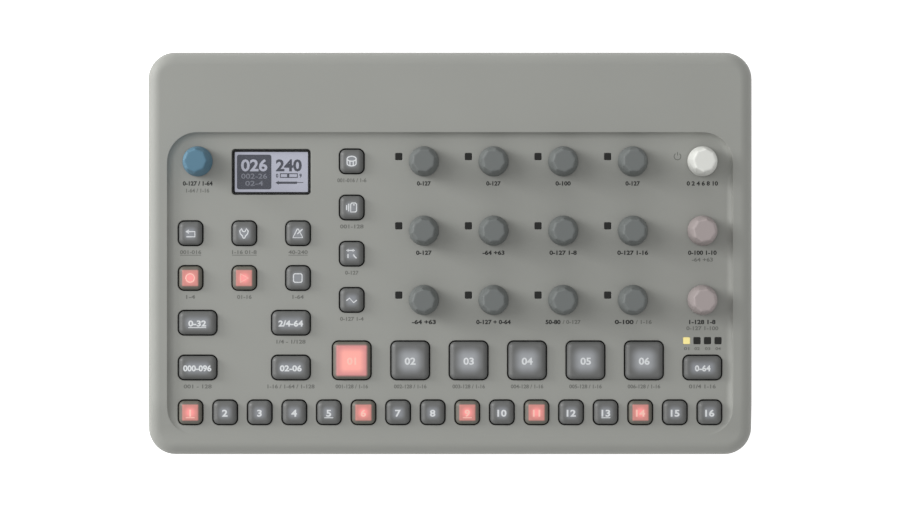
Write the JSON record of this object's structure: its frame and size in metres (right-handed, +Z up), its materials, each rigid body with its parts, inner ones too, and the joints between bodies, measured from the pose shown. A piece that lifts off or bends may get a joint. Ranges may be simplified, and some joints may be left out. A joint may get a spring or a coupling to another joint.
{
  "type": "drum machine",
  "caption": "Flat desktop drum machine: a two-part plastic shell with a sunken panel of square keys, pads and tapered knobs, a small screen, and sockets along the rear.",
  "frame": {"origin": "middle of the footprint, on the surface that the feet stand on", "axes": "+X to the right, +Y to the rear, +Z up out of the panel"},
  "size_m": [0.27, 0.18, 0.039],
  "materials": {
    "shell_plastic": "fine matte",
    "base_plastic": "fine matte",
    "key_plastic": "soft matte",
    "knob_grey": "matte",
    "knob_white": "matte",
    "knob_blue": "matte",
    "knob_rose": "matte",
    "board_laminate": "solder mask",
    "clear_plastic": "polished",
    "foot_rubber": "matte",
    "screw_steel": "zinc plated",
    "plunger_plastic": "matte"
  },
  "bodies": {
    "case": {"upper_case": "shell_plastic", "lower_case": "base_plastic", "main_board": "board_laminate", "screen_lens_and_light_pipes": "clear_plastic", "rubber_feet": "foot_rubber", "case_screws": "screw_steel"},
    "power_plunger": {"power_plunger": "plunger_plastic"},
    "step_key_01": {"step_key_01": "key_plastic"},
    "step_key_02": {"step_key_02": "key_plastic"},
    "step_key_03": {"step_key_03": "key_plastic"},
    "step_key_04": {"step_key_04": "key_plastic"},
    "step_key_05": {"step_key_05": "key_plastic"},
    "step_key_06": {"step_key_06": "key_plastic"},
    "step_key_07": {"step_key_07": "key_plastic"},
    "step_key_08": {"step_key_08": "key_plastic"},
    "step_key_09": {"step_key_09": "key_plastic"},
    "step_key_10": {"step_key_10": "key_plastic"},
    "step_key_11": {"step_key_11": "key_plastic"},
    "step_key_12": {"step_key_12": "key_plastic"},
    "step_key_13": {"step_key_13": "key_plastic"},
    "step_key_14": {"step_key_14": "key_plastic"},
    "step_key_15": {"step_key_15": "key_plastic"},
    "step_key_16": {"step_key_16": "key_plastic"},
    "track_pad_1": {"track_pad_1": "key_plastic"},
    "track_pad_2": {"track_pad_2": "key_plastic"},
    "track_pad_3": {"track_pad_3": "key_plastic"},
    "track_pad_4": {"track_pad_4": "key_plastic"},
    "track_pad_5": {"track_pad_5": "key_plastic"},
    "track_pad_6": {"track_pad_6": "key_plastic"},
    "function_key": {"function_key": "key_plastic"},
    "retrigger_key": {"retrigger_key": "key_plastic"},
    "pattern_key": {"pattern_key": "key_plastic"},
    "track_key": {"track_key": "key_plastic"},
    "page_key": {"page_key": "key_plastic"},
    "return_key": {"return_key": "key_plastic"},
    "settings_key": {"settings_key": "key_plastic"},
    "tempo_key": {"tempo_key": "key_plastic"},
    "record_key": {"record_key": "key_plastic"},
    "play_key": {"play_key": "key_plastic"},
    "stop_key": {"stop_key": "key_plastic"},
    "drum_key": {"drum_key": "key_plastic"},
    "card_key": {"card_key": "key_plastic"},
    "arrows_key": {"arrows_key": "key_plastic"},
    "wave_key": {"wave_key": "key_plastic"},
    "level_knob": {"level_knob": "knob_blue"},
    "pitch_knob": {"pitch_knob": "knob_grey"},
    "decay_knob": {"decay_knob": "knob_grey"},
    "color_knob": {"color_knob": "knob_grey"},
    "shape_knob": {"shape_knob": "knob_grey"},
    "main_volume_knob": {"main_volume_knob": "knob_white"},
    "sweep_knob": {"sweep_knob": "knob_grey"},
    "contour_knob": {"contour_knob": "knob_grey"},
    "delay_send_knob": {"delay_send_knob": "knob_grey"},
    "reverb_send_knob": {"reverb_send_knob": "knob_grey"},
    "reverb_size_knob": {"reverb_size_knob": "knob_rose"},
    "lfo_speed_knob": {"lfo_speed_knob": "knob_grey"},
    "volume_knob": {"volume_knob": "knob_grey"},
    "swing_knob": {"swing_knob": "knob_grey"},
    "chance_knob": {"chance_knob": "knob_grey"},
    "delay_time_knob": {"delay_time_knob": "knob_rose"}
  },
  "joints": [
    {"name": "step_key_01_press", "type": "slide", "parent": "case", "child": "step_key_01", "axis": [0, 0, -1], "range_m": [0, 0.0015], "stiffness_N_per_m": 200, "springref_m": -0.001},
    {"name": "step_key_02_press", "type": "slide", "parent": "case", "child": "step_key_02", "axis": [0, 0, -1], "range_m": [0, 0.0015], "stiffness_N_per_m": 200, "springref_m": -0.001},
    {"name": "step_key_03_press", "type": "slide", "parent": "case", "child": "step_key_03", "axis": [0, 0, -1], "range_m": [0, 0.0015], "stiffness_N_per_m": 200, "springref_m": -0.001},
    {"name": "step_key_04_press", "type": "slide", "parent": "case", "child": "step_key_04", "axis": [0, 0, -1], "range_m": [0, 0.0015], "stiffness_N_per_m": 200, "springref_m": -0.001},
    {"name": "step_key_05_press", "type": "slide", "parent": "case", "child": "step_key_05", "axis": [0, 0, -1], "range_m": [0, 0.0015], "stiffness_N_per_m": 200, "springref_m": -0.001},
    {"name": "step_key_06_press", "type": "slide", "parent": "case", "child": "step_key_06", "axis": [0, 0, -1], "range_m": [0, 0.0015], "stiffness_N_per_m": 200, "springref_m": -0.001},
    {"name": "step_key_07_press", "type": "slide", "parent": "case", "child": "step_key_07", "axis": [0, 0, -1], "range_m": [0, 0.0015], "stiffness_N_per_m": 200, "springref_m": -0.001},
    {"name": "step_key_08_press", "type": "slide", "parent": "case", "child": "step_key_08", "axis": [0, 0, -1], "range_m": [0, 0.0015], "stiffness_N_per_m": 200, "springref_m": -0.001},
    {"name": "step_key_09_press", "type": "slide", "parent": "case", "child": "step_key_09", "axis": [0, 0, -1], "range_m": [0, 0.0015], "stiffness_N_per_m": 200, "springref_m": -0.001},
    {"name": "step_key_10_press", "type": "slide", "parent": "case", "child": "step_key_10", "axis": [0, 0, -1], "range_m": [0, 0.0015], "stiffness_N_per_m": 200, "springref_m": -0.001},
    {"name": "step_key_11_press", "type": "slide", "parent": "case", "child": "step_key_11", "axis": [0, 0, -1], "range_m": [0, 0.0015], "stiffness_N_per_m": 200, "springref_m": -0.001},
    {"name": "step_key_12_press", "type": "slide", "parent": "case", "child": "step_key_12", "axis": [0, 0, -1], "range_m": [0, 0.0015], "stiffness_N_per_m": 200, "springref_m": -0.001},
    {"name": "step_key_13_press", "type": "slide", "parent": "case", "child": "step_key_13", "axis": [0, 0, -1], "range_m": [0, 0.0015], "stiffness_N_per_m": 200, "springref_m": -0.001},
    {"name": "step_key_14_press", "type": "slide", "parent": "case", "child": "step_key_14", "axis": [0, 0, -1], "range_m": [0, 0.0015], "stiffness_N_per_m": 200, "springref_m": -0.001},
    {"name": "step_key_15_press", "type": "slide", "parent": "case", "child": "step_key_15", "axis": [0, 0, -1], "range_m": [0, 0.0015], "stiffness_N_per_m": 200, "springref_m": -0.001},
    {"name": "step_key_16_press", "type": "slide", "parent": "case", "child": "step_key_16", "axis": [0, 0, -1], "range_m": [0, 0.0015], "stiffness_N_per_m": 200, "springref_m": -0.001},
    {"name": "track_pad_1_press", "type": "slide", "parent": "case", "child": "track_pad_1", "axis": [0, 0, -1], "range_m": [0, 0.0015], "stiffness_N_per_m": 200, "springref_m": -0.001},
    {"name": "track_pad_2_press", "type": "slide", "parent": "case", "child": "track_pad_2", "axis": [0, 0, -1], "range_m": [0, 0.0015], "stiffness_N_per_m": 200, "springref_m": -0.001},
    {"name": "track_pad_3_press", "type": "slide", "parent": "case", "child": "track_pad_3", "axis": [0, 0, -1], "range_m": [0, 0.0015], "stiffness_N_per_m": 200, "springref_m": -0.001},
    {"name": "track_pad_4_press", "type": "slide", "parent": "case", "child": "track_pad_4", "axis": [0, 0, -1], "range_m": [0, 0.0015], "stiffness_N_per_m": 200, "springref_m": -0.001},
    {"name": "track_pad_5_press", "type": "slide", "parent": "case", "child": "track_pad_5", "axis": [0, 0, -1], "range_m": [0, 0.0015], "stiffness_N_per_m": 200, "springref_m": -0.001},
    {"name": "track_pad_6_press", "type": "slide", "parent": "case", "child": "track_pad_6", "axis": [0, 0, -1], "range_m": [0, 0.0015], "stiffness_N_per_m": 200, "springref_m": -0.001},
    {"name": "function_key_press", "type": "slide", "parent": "case", "child": "function_key", "axis": [0, 0, -1], "range_m": [0, 0.0015], "stiffness_N_per_m": 200, "springref_m": -0.001},
    {"name": "retrigger_key_press", "type": "slide", "parent": "case", "child": "retrigger_key", "axis": [0, 0, -1], "range_m": [0, 0.0015], "stiffness_N_per_m": 200, "springref_m": -0.001},
    {"name": "pattern_key_press", "type": "slide", "parent": "case", "child": "pattern_key", "axis": [0, 0, -1], "range_m": [0, 0.0015], "stiffness_N_per_m": 200, "springref_m": -0.001},
    {"name": "track_key_press", "type": "slide", "parent": "case", "child": "track_key", "axis": [0, 0, -1], "range_m": [0, 0.0015], "stiffness_N_per_m": 200, "springref_m": -0.001},
    {"name": "page_key_press", "type": "slide", "parent": "case", "child": "page_key", "axis": [0, 0, -1], "range_m": [0, 0.0015], "stiffness_N_per_m": 200, "springref_m": -0.001},
    {"name": "return_key_press", "type": "slide", "parent": "case", "child": "return_key", "axis": [0, 0, -1], "range_m": [0, 0.0015], "stiffness_N_per_m": 200, "springref_m": -0.001},
    {"name": "settings_key_press", "type": "slide", "parent": "case", "child": "settings_key", "axis": [0, 0, -1], "range_m": [0, 0.0015], "stiffness_N_per_m": 200, "springref_m": -0.001},
    {"name": "tempo_key_press", "type": "slide", "parent": "case", "child": "tempo_key", "axis": [0, 0, -1], "range_m": [0, 0.0015], "stiffness_N_per_m": 200, "springref_m": -0.001},
    {"name": "record_key_press", "type": "slide", "parent": "case", "child": "record_key", "axis": [0, 0, -1], "range_m": [0, 0.0015], "stiffness_N_per_m": 200, "springref_m": -0.001},
    {"name": "play_key_press", "type": "slide", "parent": "case", "child": "play_key", "axis": [0, 0, -1], "range_m": [0, 0.0015], "stiffness_N_per_m": 200, "springref_m": -0.001},
    {"name": "stop_key_press", "type": "slide", "parent": "case", "child": "stop_key", "axis": [0, 0, -1], "range_m": [0, 0.0015], "stiffness_N_per_m": 200, "springref_m": -0.001},
    {"name": "drum_key_press", "type": "slide", "parent": "case", "child": "drum_key", "axis": [0, 0, -1], "range_m": [0, 0.0015], "stiffness_N_per_m": 200, "springref_m": -0.001},
    {"name": "card_key_press", "type": "slide", "parent": "case", "child": "card_key", "axis": [0, 0, -1], "range_m": [0, 0.0015], "stiffness_N_per_m": 200, "springref_m": -0.001},
    {"name": "arrows_key_press", "type": "slide", "parent": "case", "child": "arrows_key", "axis": [0, 0, -1], "range_m": [0, 0.0015], "stiffness_N_per_m": 200, "springref_m": -0.001},
    {"name": "wave_key_press", "type": "slide", "parent": "case", "child": "wave_key", "axis": [0, 0, -1], "range_m": [0, 0.0015], "stiffness_N_per_m": 200, "springref_m": -0.001},
    {"name": "level_knob_turn", "type": "hinge", "parent": "case", "child": "level_knob", "pos_m": [-0.11273, 0.04115, 0.03], "axis": [0, 0, 1], "continuous": true},
    {"name": "pitch_knob_turn", "type": "hinge", "parent": "case", "child": "pitch_knob", "pos_m": [-0.0117, 0.04115, 0.03], "axis": [0, 0, 1], "continuous": true},
    {"name": "decay_knob_turn", "type": "hinge", "parent": "case", "child": "decay_knob", "pos_m": [0.0194, 0.04115, 0.03], "axis": [0, 0, 1], "continuous": true},
    {"name": "color_knob_turn", "type": "hinge", "parent": "case", "child": "color_knob", "pos_m": [0.0505, 0.04115, 0.03], "axis": [0, 0, 1], "continuous": true},
    {"name": "shape_knob_turn", "type": "hinge", "parent": "case", "child": "shape_knob", "pos_m": [0.0816, 0.04115, 0.03], "axis": [0, 0, 1], "continuous": true},
    {"name": "main_volume_knob_turn", "type": "hinge", "parent": "power_plunger", "child": "main_volume_knob", "pos_m": [0.1127, 0.04115, 0.03], "axis": [0, 0, 1], "range_deg": [-150, 150]},
    {"name": "sweep_knob_turn", "type": "hinge", "parent": "case", "child": "sweep_knob", "pos_m": [-0.0117, 0.0102, 0.03], "axis": [0, 0, 1], "continuous": true},
    {"name": "contour_knob_turn", "type": "hinge", "parent": "case", "child": "contour_knob", "pos_m": [0.0194, 0.0102, 0.03], "axis": [0, 0, 1], "continuous": true},
    {"name": "delay_send_knob_turn", "type": "hinge", "parent": "case", "child": "delay_send_knob", "pos_m": [0.0505, 0.0102, 0.03], "axis": [0, 0, 1], "continuous": true},
    {"name": "reverb_send_knob_turn", "type": "hinge", "parent": "case", "child": "reverb_send_knob", "pos_m": [0.0816, 0.0102, 0.03], "axis": [0, 0, 1], "continuous": true},
    {"name": "reverb_size_knob_turn", "type": "hinge", "parent": "case", "child": "reverb_size_knob", "pos_m": [0.1127, 0.0102, 0.03], "axis": [0, 0, 1], "continuous": true},
    {"name": "lfo_speed_knob_turn", "type": "hinge", "parent": "case", "child": "lfo_speed_knob", "pos_m": [-0.0117, -0.02075, 0.03], "axis": [0, 0, 1], "continuous": true},
    {"name": "volume_knob_turn", "type": "hinge", "parent": "case", "child": "volume_knob", "pos_m": [0.0194, -0.02075, 0.03], "axis": [0, 0, 1], "continuous": true},
    {"name": "swing_knob_turn", "type": "hinge", "parent": "case", "child": "swing_knob", "pos_m": [0.0505, -0.02075, 0.03], "axis": [0, 0, 1], "continuous": true},
    {"name": "chance_knob_turn", "type": "hinge", "parent": "case", "child": "chance_knob", "pos_m": [0.0816, -0.02075, 0.03], "axis": [0, 0, 1], "continuous": true},
    {"name": "delay_time_knob_turn", "type": "hinge", "parent": "case", "child": "delay_time_knob", "pos_m": [0.1127, -0.02075, 0.03], "axis": [0, 0, 1], "continuous": true},
    {"name": "power_switch_press", "type": "slide", "parent": "case", "child": "power_plunger", "axis": [0, 0, -1], "range_m": [0, 0.0005], "stiffness_N_per_m": 2000, "springref_m": -0.0005}
  ]
}
